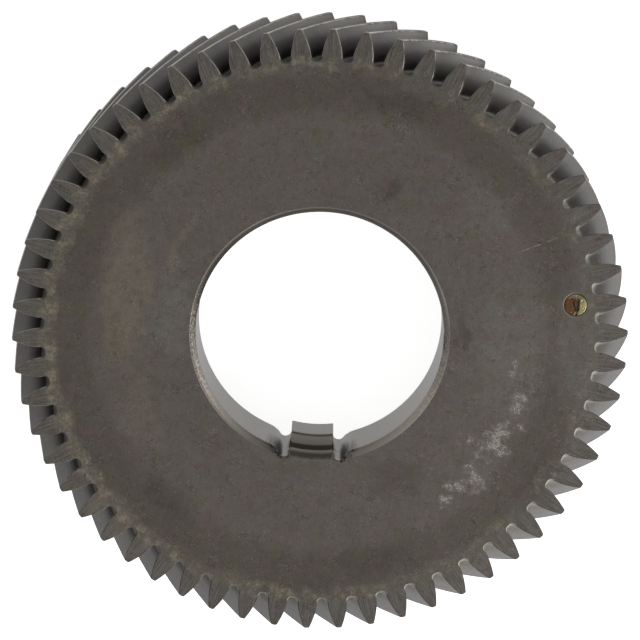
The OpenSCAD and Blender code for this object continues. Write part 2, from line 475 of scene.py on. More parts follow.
# Brass plug
plugSizes = {
    "radius": 3.6,
    "long": 12.0,
    "below": 0.02,  # the head lies this far under the face
    "crown": 0.05,  # and falls away this much towards its rim
    "rim": 0.12,
    "rings": 30,
    "spokes": 96,
    # the torn screwdriver slot: start, end, half width and depth of each gouge, from the plug's middle
    "gouges": [((0.75, 1.4), (0.75, -1.6), 0.5, 0.5), ((-0.95, 1.0), (0.05, -1.8), 0.24, 0.4),
               ((-1.9, 2.1), (0.2, 1.4), 0.16, 0.2), ((0.3, 2.9), (0.7, 1.6), 0.16, 0.2),
               ((0.1, -3.4), (0.6, -2.2), 0.2, 0.2)],
    # metal pushed up beside them: start, end, half width and height
    "lips": [((-1.7, 1.0), (-0.1, -2.5), 0.26, 0.02), ((-0.3, 0.9), (0.35, -1.9), 0.2, 0.02)],
    # corrosion pits: place, radius and depth
    "pits": [((2.25, 1.45), 0.24, 0.25), ((1.85, 1.1), 0.2, 0.2), ((2.75, -1.15), 0.24, 0.25),
             ((2.1, -0.45), 0.2, 0.15), ((1.1, 2.4), 0.3, 0.25), ((-1.0, -2.6), 0.2, 0.15)],
    "gougeEdge": 1.2, "gougeFade": 0.5, "pitEdge": 1.4,  # in half widths and radii
    "grimeAndShadeDepth": 0.4,  # a gouge this deep is at its darkest: grime, and painted shade in the hollow
    "sharpAngle": 60,
}


def ease(t):
    t = max(0, min(1, t))
    return t * t * (3 - 2 * t)


def awayFrom(p, start, end):
    # distance from a point to a straight line between two others
    start, end = Vector(start), Vector(end)
    along = end - start
    t = max(0, min(1, (p - start).dot(along) / along.length_squared))
    return (p - start - along * t).length


def plugHead(p, s):
    # height of the worn head at a point, and how deep the point lies in a gouge or a pit
    edge, fade = s["gougeEdge"], s["gougeFade"]
    sunk = [depth * ease((edge - awayFrom(p, start, end) / half) / fade)
            for start, end, half, depth in s["gouges"]]
    sunk += [depth * ease(s["pitEdge"] - (p - Vector(middle)).length / r)
             for middle, r, depth in s["pits"]]
    sunk = max(sunk)
    raised = max(height * ease(1 - awayFrom(p, start, end) / half)
                 for start, end, half, height in s["lips"])
    rim, radius = s["rim"], s["radius"]
    overRim = max(0, p.length - radius + rim)
    drop = rim - sqrt(max(rim ** 2 - overRim ** 2, 0)) + s["crown"] * (p.length / radius) ** 2
    return faceWidth - s["below"] + raised - drop - sunk, sunk


def makePlug(s, brass):
    rows = [circleRow(s["radius"], faceWidth - s["long"], s["spokes"], plugCentre)]
    for i in range(s["rings"], 0, -1):
        flat = [polar(s["radius"] * i / s["rings"], 2 * pi * j / s["spokes"]) for j in range(s["spokes"])]
        rows.append([(*(plugCentre + p), plugHead(p, s)[0]) for p in flat])
    bm = bmesh.new()
    # how deep each point lies in a gouge or pit, which darkens it as grime and painted shade
    grime = bm.verts.layers.float.new("grime")
    addRings(bm, rows)
    fillFlat(bm, faceWidth - s["long"], False, 0)
    bmesh.ops.holes_fill(bm, edges=[e for e in bm.edges if e.is_boundary])
    for vert in bm.verts:
        vert[grime] = min(1, plugHead(vert.co.xy / mm - plugCentre, s)[1] / s["grimeAndShadeDepth"])
    for edge in bm.edges:
        edge.smooth = edge.calc_face_angle(0) < radians(s["sharpAngle"])
    mesh = bpy.data.meshes.new("brassPlug")
    bm.to_mesh(mesh)
    bm.free()
    mesh.materials.append(brass)
    return inScene("brassPlug", mesh)


# Finishes
def placeGroup():
    # millimetres from the gear's origin, distance from its axis, and the direction outward
    outputs = {"Place": "Vector", "Radius": "Float", "Outward": "Vector"}
    tree, add = newGroup("gearPlace", "ShaderNodeTree", {}, outputs)[:2]
    metres = add("TexCoord").outputs["Object"]
    place = add("VectorMath", [metres, 1 / mm], "SCALE")
    flat = add("VectorMath", [place, (1, 1, 0)], "MULTIPLY")
    radius = add("VectorMath", [flat], "LENGTH")
    outward = add("VectorMath", [flat], "NORMALIZE")
    add("NodeGroupOutput", {"Place": place, "Radius": radius, "Outward": outward})
    return tree


def marksGroup():
    # scattered ragged marks of about one size: none at share 0, half the surface at share 1
    inputs = {"Place": "Vector", "Size": "Float", "Share": "Float"}
    tree, add = newGroup("scatteredMarks", "ShaderNodeTree", inputs, {"Mark": "Float"})[:2]
    reach = 0.3  # how far a full share lifts the noise
    begins, full = 0.77, 0.84  # a narrow step gives each mark a ragged edge
    given = add("NodeGroupInput").outputs
    fine = add("Math", [1, given["Size"]], "DIVIDE")
    cloud = add("TexNoise", [given["Place"], fine, 1.5])
    level = add("Math", [given["Share"], reach, cloud], "MULTIPLY_ADD")
    mark = add("MapRange", [level, begins, full])
    add("NodeGroupOutput", {"Mark": mark})
    return tree


groups = {"place": placeGroup(), "marks": marksGroup()}


def mottled(add, place, layers):
    # a value about 1 that wanders at several sizes: millimetres and depth of each layer
    value = 1 - sum(depth for size, depth in layers) / 2
    for size, depth in layers:
        cloud = add("TexNoise", [place, 1 / size, 1.5])
        value = add("Math", [cloud, depth, value], "MULTIPLY_ADD")
    return value


def patched(add, place, patches):
    # the strongest of several soft ovals: x, y, half width, half height, degrees of turn and strength
    total = 0.0
    inner, outer = 0.4, 1.2  # where an oval starts to fade, and where it is gone
    for x, y, halfWidth, halfHeight, turn, strength in patches:
        local = add("VectorMath", [place, (x, y, 0)], "SUBTRACT")
        level = add("VectorRotate", {"Vector": local, "Angle": -radians(turn)}, rotation_type="Z_AXIS")
        scaled = add("VectorMath", [level, (1 / halfWidth, 1 / halfHeight, 0)], "MULTIPLY")
        far = add("VectorMath", [scaled], "LENGTH")
        soft = add("MapRange", [far, inner, outer, strength, 0], interpolation_type="SMOOTHSTEP")
        total = add("Math", [total, soft], "MAXIMUM")
    return total


def turnedTo(add, outward, side, ends):
    # a value that changes as the surface lies more towards one side of the axis
    share = add("VectorMath", [outward, side], "DOT_PRODUCT")
    return add("MapRange", [share, *ends])


def marked(add, place, size, share, most):
    # scattered marks of one size, none of them stronger than this
    marks = add("Group", [place, size, share], node_tree=groups["marks"])
    return add("Math", [marks, most], "MULTIPLY")


def stepped(add, value, stops):
    # colours along a value, from (value, hex colour) pairs
    low, high = stops[0][0], stops[-1][0]
    share = add("MapRange", [value, low, high])
    ramp = add("ValToRGB", [share])
    elements = ramp.color_ramp.elements
    for i, (at, colour) in enumerate(stops):
        element = elements[i] if i < 2 else elements.new((at - low) / (high - low))
        element.position, element.color = (at - low) / (high - low), linear(colour)
    return ramp


def makeFinish(name, build, sizes):
    # a finish gives its colour, metallic, roughness and the value that its fine relief follows
    material = bpy.data.materials.new(name)
    add = emptied(material)
    where = add("Group", node_tree=groups["place"]).outputs
    colour, metallic, roughness, height = build(add, where, sizes)
    inputs = {"Base Color": colour, "Metallic": metallic, "Roughness": roughness}
    if height:
        strength, depth = sizes["bump"]  # how much of the relief shows, and its depth in millimetres
        inputs["Normal"] = add("Bump", {"Height": height, "Strength": strength, "Distance": depth * mm})
    add("OutputMaterial", {"Surface": add("BsdfPrincipled", inputs)})
    return material


# In every finish a "Range" holds the ends of a Map Range node, and a noise's "Scale" is per millimetre.
# A noise takes its place, scale, detail and roughness.
faceFinish = {
    "bands": [(40, "#6f6964"), (72, "#6f6964"), (77.5, "#645e58"), (85.5, "#645e58"), (88, "#6b6660"),
              (91, "#6b6762"), (94, "#6c6864")],  # by distance from the axis
    "mottles": [(16, 0.2), (6, 0.24), (2.2, 0.26), (0.9, 0.24), (0.42, 0.5)],
    "drift": 9.0,  # how far stains wander from their plain outline
    "driftScale": 0.14,  # in bends about 7 mm long
    "tan": "#80776b",
    "tanPatches": [(-64, 10, 9, 30, 0, 0.7), (-47, 27, 3, 13, -25, 0.5), (-56, -30, 9, 14, 10, 0.4),
                   (-67, -67, 6, 20, 45, 0.4)],
    "grey": "#7a7670",
    "greyPatches": [(62, -2, 14, 26, 0, 0.5), (84, 4, 9, 26, 0, 0.5), (-48, 4, 8, 16, 0, 0.65),
                    (52, 44, 9, 9, 0, 0.3), (61, -73, 5, 20, -50, 0.4)],
    "dark": "#4a4540",
    "darkPatches": [(20, 51, 6, 4, 0, 0.5), (30, -47, 10, 7, 0, 0.35), (-47, -58, 12, 7, -40, 0.4),
                    (-50, 60, 14, 6, 40, 0.35), (46, 3, 4, 9, 0, 0.4), (20, 79, 16, 4, -12, 0.4),
                    (76, -44, 6, 14, -30, 0.3), (0, -88, 6, 16, -90, 0.25), (20, -75, 18, 7, 15, 0.25)],
    "tintSize": 7.0,
    "olive": "#65634f", "oliveRange": (0.5, 0.66, 0, 0.48),
    "plum": "#6d5d57", "plumRange": (0.48, 0.34, 0, 0.48),
    "crust": "#625f4a", "crustTan": "#7f756a",
    "crustFrom": 86.2, "crustTo": 93.5, "crustFade": 2.5,
    "crustSide": (-1, -0.4, 0), "crustLean": 0.07,  # the side where it is heavier, and by how much
    "clumpScale": 0.22, "clumpRange": (0.44, 0.66, 0, 0.95),  # clumps of about 4.5 mm
    "lumpScale": 0.45, "lumpRange": (0.4, 0.6),  # and the lumps in them, of about 2 mm
    "crustRim": 0.8, "rimWidth": 0.16,  # a pale line this far inside the crust
    "grain": "#a89c89", "grainSize": 0.9, "grainMost": 0.22,
    "paleRange": (20, -80, 1, 1.12),  # along X: painted light, paler towards -X
    "scuffScale": (2.2, 0.12, 1), "scuffDepth": 0.22,
    "brush": 0.5,  # millimetres between the brush lines on the tooth ends
    "brushR": 95.0, "brushScale": 0.12, "brushRange": (0.3, 0.7, -0.3, 0.3),
    "toothFrom": 90.0, "toothTo": 93.0,
    "clusterScale": 0.12,  # specks and pits gather in clusters of about 8 mm
    "markMost": 0.3,
    "speck": "#a49c92", "speckSize": 0.55, "speckRange": (0.35, 0.65, 0.1, 0.65),
    "pit": "#322d29", "pitSize": 0.8, "pitRange": (0.65, 0.3, 0.1, 0.65),
    "tide": "#38332d", "tideWidth": 0.014, "tideRange": (0.5, 0.6, 0, 0.4),  # dark lines where oil dried
    "scratch": "#a39a8e",
    "scratches": [(69, 35.2, 9, 0.24, 25, 1.0)],
    "skipScale": 0.9, "skipRange": (0.4, 0.6, 0, 0.75),  # where the scratch skips
    "corrosion": "#a49e96",
    "corrosionPatches": [(61, -31, 8, 14, -30, 1.0), (53, -46, 10, 6, 10, 1.0), (46, -51, 5, 4, 0, 0.9),
                         (66, -17, 7, 4, 0, 0.9), (64, -8, 3, 3, 0, 0.9), (51, -34, 4, 5, 0, 0.8)],
    "corrosionScale": 0.3, "corrosionLift": 0.4, "corrosionRange": (0.76, 1.0),
    "bloomSize": 0.5, "bloomMost": 0.95, "haze": 0.34,  # white blooms, and the haze between them
    "burr": "#b3a593",  # metal raised round the brass plug, on its -X side
    "burrOff": 0.2, "burrRange": (0.2, 0.45, 1.1, 0), "burrFrom": 2.6, "burrTo": -1.0, "burrLeast": 0.15,
    "metalRange": (0, 1, 0.95, 0.45), "roughRange": (0.8, 1.2, 0.56, 0.46),
    "bump": (0.35, 0.06),
}


def oiledFace(add, where, f):
    # hot-worked carbon steel under old oil: a dull brown-grey skin, mottled, with a darker worn band,
    # an olive crust round the tooth roots and pale corrosion specks
    place, radius, outward = where["Place"], where["Radius"], where["Outward"]
    cloud = add("TexNoise", [place, f["driftScale"], 4, 0.6])
    middle = add("VectorMath", [cloud.outputs["Color"], (0.5, 0.5, 0.5)], "SUBTRACT")
    drift = add("VectorMath", [middle, 2 * f["drift"]], "SCALE")
    strayed = add("VectorMath", [place, drift], "ADD")
    strayedRadius = add("Math", [cloud, f["drift"], radius], "MULTIPLY_ADD")
    evenRadius = add("Math", [strayedRadius, f["drift"] / 2], "SUBTRACT")
    colour = stepped(add, evenRadius, f["bands"])

    for name in ("tan", "grey", "dark"):
        mask = patched(add, strayed, f[name + "Patches"])
        colour = add("Mix", [mask, colour, f[name]], "RGBA")
    for name in ("olive", "plum"):
        tint = add("TexNoise", [place, 1 / f["tintSize"], 4, 0.6])
        mask = add("MapRange", [tint, *f[name + "Range"]])
        colour = add("Mix", [mask, colour, f[name]], "RGBA")

    # crust round the roots, heaviest towards -X
    soft = {"interpolation_type": "SMOOTHSTEP"}
    rise = add("MapRange", [evenRadius, f["crustFrom"], f["crustFrom"] + f["crustFade"]], **soft)
    fall = add("MapRange", [evenRadius, f["crustTo"] - f["crustFade"], f["crustTo"], 1, 0], **soft)
    side = add("VectorMath", [outward, f["crustSide"]], "DOT_PRODUCT")
    clump = add("TexNoise", [place, f["clumpScale"], 5, 0.65])
    sided = add("Math", [side, f["crustLean"], clump], "MULTIPLY_ADD")
    heavy = add("MapRange", [sided, *f["clumpRange"]])
    ring = add("Math", [rise, fall], "MULTIPLY")
    crust = add("Math", [ring, heavy], "MULTIPLY")
    lumps = add("TexNoise", [place, f["lumpScale"], 3])
    tanShare = add("MapRange", [lumps, *f["lumpRange"]])
    deposit = add("Mix", [tanShare, f["crust"], f["crustTan"]], "RGBA")
    colour = add("Mix", [crust, colour, deposit], "RGBA")
    grains = add("Group", [place, f["grainSize"], ring], node_tree=groups["marks"])
    rim = add("Math", [evenRadius, f["crustFrom"] + f["crustRim"], f["rimWidth"]], "COMPARE")
    lit = add("Math", [grains, rim], "MAXIMUM")
    lit = add("Math", [lit, heavy], "MULTIPLY")
    lit = add("Math", [lit, f["grainMost"]], "MULTIPLY")
    colour = add("Mix", [lit, colour, f["grain"]], "RGBA")

    # tone: mottling, paler towards -X as painted light, scuffs along Y, and brush lines that run out
    # along the tooth ends
    parts = add("SeparateXYZ", [place]).outputs
    paintedPale = add("MapRange", [parts["X"], *f["paleRange"]])
    mottle = mottled(add, place, f["mottles"])
    tone = add("Math", [mottle, paintedPale], "MULTIPLY")
    scuffed = add("VectorMath", [place, f["scuffScale"]], "MULTIPLY")
    scuffs = add("TexNoise", [scuffed, 1, 2])
    tone = add("Math", [scuffs, f["scuffDepth"], tone], "MULTIPLY_ADD")
    tone = add("Math", [tone, f["scuffDepth"] / 2], "SUBTRACT")
    around = add("VectorMath", [outward, f["brushR"] / f["brush"]], "SCALE")
    depth = add("VectorMath", [place, [f["brushScale"]] * 3], "MULTIPLY")
    brushed = add("VectorMath", [around, depth], "ADD")
    brush = add("TexNoise", [brushed, 1, 2])
    onTooth = add("MapRange", [radius, f["toothFrom"], f["toothTo"]])
    line = add("MapRange", [brush, *f["brushRange"]])
    lines = add("Math", [line, onTooth], "MULTIPLY")
    tone = add("Math", [tone, lines], "ADD")
    colour = add("VectorMath", [colour, tone], "SCALE")

    # light specks and dark pits, in clusters, tide lines, and a scratch
    gather = add("TexNoise", [place, f["clusterScale"], 3, 0.7])
    for name in ("speck", "pit"):
        share = add("MapRange", [gather, *f[name + "Range"]])
        mask = marked(add, place, f[name + "Size"], share, f["markMost"])
        colour = add("Mix", [mask, colour, f[name]], "RGBA")
    tide = add("Math", [clump, 0.5, f["tideWidth"]], "COMPARE")
    tideShare = add("MapRange", [gather, *f["tideRange"]])
    tide = add("Math", [tide, tideShare], "MULTIPLY")
    colour = add("Mix", [tide, colour, f["tide"]], "RGBA")
    skips = add("TexNoise", [place, f["skipScale"], 1])
    touched = add("MapRange", [skips, *f["skipRange"]])
    scratch = add("Math", [patched(add, place, f["scratches"]), touched], "MULTIPLY")
    colour = add("Mix", [scratch, colour, f["scratch"]], "RGBA")

    # the corroded patch, on the front only, and the burr round the plug
    region = patched(add, strayed, f["corrosionPatches"])
    front = add("Math", [parts["Z"], faceWidth / 2], "GREATER_THAN")
    clusters = add("TexNoise", [place, f["corrosionScale"], 3, 0.7])
    gathered = add("Math", [region, f["corrosionLift"], clusters], "MULTIPLY_ADD")
    share = add("MapRange", [gathered, *f["corrosionRange"]])
    blooms = marked(add, place, f["bloomSize"], share, f["bloomMost"])
    bloom = add("Math", [share, f["haze"], blooms], "MULTIPLY_ADD")
    bloom = add("Math", [bloom, front], "MULTIPLY", use_clamp=True)
    colour = add("Mix", [bloom, colour, f["corrosion"]], "RGBA")
    fromPlug = add("VectorMath", [place, (*plugCentre, faceWidth)], "DISTANCE")
    off = add("Math", [fromPlug, bodySizes["plugHoleR"] + f["burrOff"]], "SUBTRACT")
    off = add("Math", [off], "ABSOLUTE")
    burr = add("MapRange", [off, *f["burrRange"]])
    low, high = (plugCentre.x + f[end] for end in ("burrFrom", "burrTo"))
    raised = add("MapRange", [parts["X"], low, high, f["burrLeast"]])
    burr = add("Math", [burr, raised], "MULTIPLY")
    burr = add("Math", [burr, clump], "MULTIPLY")
    colour = add("Mix", [burr, colour, f["burr"]], "RGBA")

    dull = add("Math", [crust, bloom], "MAXIMUM")
    metallic = add("MapRange", [dull, *f["metalRange"]])
    roughness = add("MapRange", [tone, *f["roughRange"]])
    return colour, metallic, roughness, tone


flankFinish = {
    "steel": "#8c8986",
    "mottles": [(12, 0.1), (3, 0.12)],
    "honing": (0.35, 22.0),  # width and length of the honing lines, drawn coarse enough to show
    "honingDepth": 0.12,
    "wipedSide": (0.86, -0.5, 0), "wipedRange": (0.5, 1, 0.79, 1.15),  # painted light and shade: the flanks brighter on the +X-Y side, darker round the rest
    "dryRear": (36, 3),  # heights between which the flanks dry towards the back,
    "dryCrest": (95, 100, 0.5, 2),  # more at their crests
    "drySide": (0.03, 1, 0), "drySideRange": (0.6, 1),  # and towards +Y
    "landDepth": 0.02, "landTone": -0.45,
    # in the roots: black oil on the -X+Y side only, partly oil and partly painted shade, and a painted
    # highlight on the +X-Y side
    "oil": "#2e2925", "oilTo": 95.0, "cleanTo": 97.0,
    "oilSide": (-0.85, 0.5, 0), "oilRange": (-0.6, 0.6, 0, 0.75), "cleanRange": (0.2, -0.8, 0, 0.9),
    "root": "#dad6cf",  # the fillets, left rough by the hob, with a painted highlight where no oil lies
    "rootRough": 0.35,
    "nick": "#d2cdc4", "nickSize": 1.2, "nickShare": 0.3, "nickMost": 0.3,
    "roughRange": (0.3, 0.7, 0.34, 0.42),
    "bump": (0.2, 0.01),
}


def groundFlank(add, where, f):
    # case-hardened steel, ground and run in: a smooth neutral satin, painted lighter on the +X-Y side and
    # darker round the rest, with black oil and painted shade in the roots on the -X+Y side and a painted
    # highlight in them on the other
    place, radius, outward = where["Place"], where["Radius"], where["Outward"]
    height = add("SeparateXYZ", [place]).outputs["Z"]
    behind = add("Math", [faceWidth, height], "SUBTRACT")
    lean = add("Math", [behind, twistRate], "MULTIPLY")
    straight = add("VectorRotate", {"Vector": place, "Angle": lean}, rotation_type="Z_AXIS")
    width, length = f["honing"]
    honed = add("VectorMath", [straight, (1 / width, 1 / width, 1 / length)], "MULTIPLY")
    lines = add("TexNoise", [honed, 1, 2])
    tone = mottled(add, place, f["mottles"])
    tone = add("Math", [lines, f["honingDepth"], tone], "MULTIPLY_ADD")
    # painted light and shade: brighter on the +X-Y side, darker round the rest
    paintedLight = turnedTo(add, outward, f["wipedSide"], f["wipedRange"])
    tone = add("Math", [tone, paintedLight], "MULTIPLY")
    dryRear = add("MapRange", [height, *f["dryRear"]])
    dryCrest = add("MapRange", [radius, *f["dryCrest"]])
    drySide = turnedTo(add, outward, f["drySide"], f["drySideRange"])
    dry = add("Math", [dryRear, dryCrest], "MULTIPLY")
    dry = add("Math", [dry, drySide], "MULTIPLY")
    onLand = add("Math", [radius, tipR - f["landDepth"]], "GREATER_THAN")
    dry = add("Math", [onLand, f["landTone"], dry], "MULTIPLY_ADD")
    dry = add("Math", [dry, 1], "ADD")
    tone = add("Math", [tone, dry], "MULTIPLY")
    colour = add("VectorMath", [linear(f["steel"])[:3], tone], "SCALE")

    # the fillets: a painted highlight on one side, black oil on the other that is partly oil and partly
    # painted shade
    low, lower = (add("MapRange", [radius, rootR, f[to], 1, 0], interpolation_type="SMOOTHSTEP")
                  for to in ("cleanTo", "oilTo"))
    side = add("VectorMath", [outward, f["oilSide"]], "DOT_PRODUCT")
    heavy = add("MapRange", [side, *f["oilRange"]])
    highlightSide = add("MapRange", [side, *f["cleanRange"]])
    bright = add("Math", [low, highlightSide], "MULTIPLY")
    colour = add("Mix", [bright, colour, f["root"]], "RGBA")
    oil = add("Math", [lower, heavy], "MULTIPLY")
    colour = add("Mix", [oil, colour, f["oil"]], "RGBA")
    nicks = marked(add, place, f["nickSize"], f["nickShare"], f["nickMost"])
    colour = add("Mix", [nicks, colour, f["nick"]], "RGBA")
    satin = add("MapRange", [lines, *f["roughRange"]])
    roughness = add("Math", [bright, f["rootRough"], satin], "MULTIPLY_ADD")
    return colour, 1, roughness, lines


edgeFinish = {
    # the bright edge colour is worn metal and painted highlight
    "bright": "#eae5dd",
    "dull": "#66615c",
    "breakSize": 3.0,  # length of the bright stretches
    "side": (-0.8, 0.6, 0), "sideShare": 0.35,
    "crestFrom": -0.4, "crestTo": -0.15,  # from the tip radius
    "crestLeast": 0.45, "rimMost": 0.42, "crestMost": 1.1,
    "handled": (0.48, 0.8),
    "hobbedRange": (0.2, -0.9, 0.1, 0.6),
    "rootFrom": 1.6, "rootTo": 0.6,  # from the root radius
    "metalRange": (0, 1, 1, 0.6), "roughRange": (0, 1, 0.75, 0.5),
}


def wornEdge(add, where, f):
    # broken edges: bright in stretches, partly wear and partly painted highlight, which is painted on
    # more at the crests and towards -X and +Y and less towards +X as painted shade;
    # oil darkens the rest, and the roots' edges carry a painted highlight only towards +X
    side = add("VectorMath", [where["Outward"], f["side"]], "DOT_PRODUCT")
    cloud = add("TexNoise", [where["Place"], 1 / f["breakSize"], 3])
    sided = add("Math", [side, f["sideShare"], cloud], "MULTIPLY_ADD")
    atCrest = add("MapRange", [where["Radius"], tipR + f["crestFrom"], tipR + f["crestTo"]])
    least = add("MapRange", [atCrest, 0, 1, 0, f["crestLeast"]])
    most = add("MapRange", [atCrest, 0, 1, f["rimMost"], f["crestMost"]])
    # wear and painted highlight: more of it at the crests and towards -X and +Y, less towards +X
    handled = add("MapRange", [sided, *f["handled"], least, most])
    # the roots' edges: a painted highlight towards +X
    rootHighlight = add("MapRange", [side, *f["hobbedRange"]])
    rootHighlight = add("Math", [rootHighlight, cloud], "MULTIPLY")
    inRoot = add("MapRange", [where["Radius"], rootR + f["rootFrom"], rootR + f["rootTo"]])
    rubbed = add("Mix", [inRoot, handled, rootHighlight])
    colour = add("Mix", [rubbed, f["dull"], f["bright"]], "RGBA")
    metallic = add("MapRange", [rubbed, *f["metalRange"]])
    roughness = add("MapRange", [rubbed, *f["roughRange"]])
    return colour, metallic, roughness, None


boreFinish = {
    "wall": "#726f6b",
    "mottles": [(14, 0.08), (4, 0.08), (0.8, 0.06)],
    "toolPitch": 0.5,  # between turning marks, coarser than the real ones so that they show
    "toolDepth": 0.08,
    "chamferSide": (-0.9, 0.42, 0),
    "chamferAround": [(-1.0, "#807b75"), (-0.7, "#98938d"), (-0.4, "#837e78"), (0.4, "#746f69"),
                      (0.85, "#69645e"), (0.93, "#58534e"), (0.99, "#45413d")],  # up to that side, darker towards it as painted shade along with the dirt
    "rubbed": "#ddd4c9",
    "rubbedSide": (0.02, -1, 0), "rubbedRange": (1.05, 1.85),
    "chipScale": 1.6, "chipDepth": 2.4,  # ragged at about 0.6 mm
    "grooveClear": (15, 37),  # across the tongue, where the grooves' dirt gives way
    "lipFrom": 41.4, "lipTo": 41.75,  # height of the lip, where chamfer meets face
    "paleSide": (0.35, 0.94, 0), "paleRange": (0.4, 0.7, 1, 1.65),  # painted highlight: its tone rises towards this side
    "soiledSide": (0.6, 0.8, 0), "soiledRange": (-0.7, -0.3, -0.5, 0),  # and painted shade: its tone falls away from this
    "tongue": [(16, "#706d69"), (28.6, "#706d69"), (29.8, "#47423b"), (31.0, "#2f2a27"),
               (34.6, "#3f3935"), (35.0, "#857f78"), (35.6, "#a8a29a"), (38.0, "#958f87"),
               (39.8, "#6d6761"), (40.4, "#4f4944"), (41.2, "#4d4843"), (42.0, "#78726c")],  # by height: painted shade in the undercut and a painted highlight on the land in front of it
    "tongueEnd": [(37.1, "#6b655c"), (37.4, "#8f887f"), (37.7, "#b3ada6"), (40.2, "#b3aca4"),
                  (40.7, "#5d564f")],  # by distance from the axis, with the end face painted lighter as painted light
    "smudge": 0.6, "smudgeScale": 0.5,  # how far, up and down, the bands on the tongue stray
    "stain": "#262120",
    "stains": [(40, 0, 3, 4.5, 0, 0.5)],
    "streakScale": (1.6, 1.6, 0.06),
    "runHeight": (22, 36),  # oil that ran down from the front,
    "runFrom": 9.8, "runAcross": (12, 17, 1, 0),  # from the groove outward
    "shelf": (40.2, 41.0, 1, 0.5),  # thinner on the chamfer
    "stainRange": (0.1, 0.38),
    "slack": 0.05, "endSlack": 0.1, "endLead": 0.3,  # millimetres of margin where two surfaces meet
    "metalRange": (0, 1, 1, 0.25), "roughRange": (0, 1, 0.4, 0.65),
    "bump": (0.25, 0.015),
}


def boredSteel(add, where, f):
    # a bored and sized seat: smooth grey turning, dirt and painted shade on its chamfer, painted
    # highlight and shade at its lip, painted shade and highlight on the tongue, black oil beside the
    # tongue
    place, outward = where["Place"], where["Outward"]
    x, y, z = add("SeparateXYZ", [place]).outputs
    across = add("Math", [x], "ABSOLUTE")
    below = add("Math", [y, 0], "LESS_THAN")
    cut = add("Math", [z, f["toolPitch"]], "DIVIDE")
    turning = add("TexNoise", [cut, 1, 2], noise_dimensions="1D")
    tone = mottled(add, place, f["mottles"])
    tone = add("Math", [turning, f["toolDepth"], tone], "MULTIPLY_ADD")

    # the front chamfer, rubbed clean where -Y faces up to a hand
    side = add("VectorMath", [outward, f["rubbedSide"]], "DOT_PRODUCT")
    chips = add("TexNoise", [place, f["chipScale"], 3, 0.8])
    broken = add("Math", [chips, f["chipDepth"], side], "MULTIPLY_ADD")
    rubbed = add("MapRange", [broken, *f["rubbedRange"]])
    clear = add("MapRange", [across, *f["grooveClear"]])
    rubbed = add("Math", [rubbed, clear], "MULTIPLY")
    # the chamfer's colour round the bore: dirt, darker towards -X+Y as painted shade
    facing = add("VectorMath", [outward, f["chamferSide"]], "DOT_PRODUCT")
    dirtAndShade = stepped(add, facing, f["chamferAround"])
    chamfer = add("Mix", [rubbed, dirtAndShade, f["rubbed"]], "RGBA")
    # the lip: painted highlight towards +Y, painted shade towards -X-Y beside the grooves
    lip = add("MapRange", [z, f["lipFrom"], f["lipTo"]])
    paintedPale = turnedTo(add, outward, f["paleSide"], f["paleRange"])
    paintedShade = turnedTo(add, outward, f["soiledSide"], f["soiledRange"])
    worn = add("Math", [paintedShade, clear, paintedPale], "MULTIPLY_ADD")
    worn = add("MapRange", [lip, 0, 1, 1, worn])
    chamfer = add("VectorMath", [chamfer, worn], "SCALE")
    onChamfer = add("Math", [z, faceWidth - bodySizes["frontChamfer"] + f["slack"]], "GREATER_THAN")
    colour = add("Mix", [onChamfer, f["wall"], chamfer], "RGBA")

    # the tongue, its end, the undercut and the land in front of it: painted shade in the undercut, a
    # painted highlight on the land, the end face painted lighter
    smudge = add("TexNoise", [place, f["smudgeScale"], 2])
    smudge = add("MapRange", [smudge, 0, 1, -f["smudge"], f["smudge"]])
    height = add("Math", [z, smudge], "ADD")
    along = stepped(add, height, f["tongue"])
    inEnd = add("Math", [z, bodySizes["tongueEnd"], f["endSlack"]], "COMPARE")
    ends = stepped(add, where["Radius"], f["tongueEnd"])
    along = add("Mix", [inEnd, along, ends], "RGBA")
    within = add("Math", [across, bodySizes["tongueHalf"] - f["slack"]], "LESS_THAN")
    onTongue = add("Math", [within, below], "MULTIPLY")
    colour = add("Mix", [onTongue, colour, along], "RGBA")
    ahead = add("Math", [z, bodySizes["tongueEnd"] - f["endLead"]], "GREATER_THAN")
    dry = add("Math", [onTongue, ahead], "MULTIPLY")

    # oil run down the outer side of each relief groove, and in one stain on the wall, from the front
    drawn = add("VectorMath", [place, f["streakScale"]], "MULTIPLY")
    streaks = add("TexNoise", [drawn, 1, 2])
    reach = add("MapRange", [z, *f["runHeight"]])
    near = add("MapRange", [across, *f["runAcross"]])
    shelf = add("MapRange", [z, *f["shelf"]])
    past = add("Math", [across, f["runFrom"]], "GREATER_THAN")
    beside = add("Math", [near, past], "MULTIPLY")
    beside = add("Math", [beside, below], "MULTIPLY")
    wet = add("Math", [beside, patched(add, place, f["stains"])], "MAXIMUM")
    for share in (reach, shelf, streaks):
        wet = add("Math", [wet, share], "MULTIPLY")
    stained = add("MapRange", [wet, *f["stainRange"]])
    colour = add("Mix", [stained, colour, f["stain"]], "RGBA")
    colour = add("VectorMath", [colour, tone], "SCALE")
    metallic = add("MapRange", [dry, *f["metalRange"]])
    scoured = add("Math", [rubbed, onChamfer], "MULTIPLY")
    rough = add("Math", [dry, scoured], "MAXIMUM")
    roughness = add("MapRange", [rough, *f["roughRange"]])
    return colour, metallic, roughness, turning


recessFinish = {
    "steel": "#605a54",
    "mottles": [(16, 0.2), (5, 0.2), (1.2, 0.16)],
    "toolPitch": 0.8,  # between turning marks
    "toolDepth": 0.25,
    "rust": "#6a5140", "rustScale": 0.12, "rustRange": (0.52, 0.72, 0, 0.6),  # in clouds of about 8 mm
    "metalRange": (0, 1, 1, 0.5), "roughness": 0.5,
    "bump": (0.35, 0.03),
}


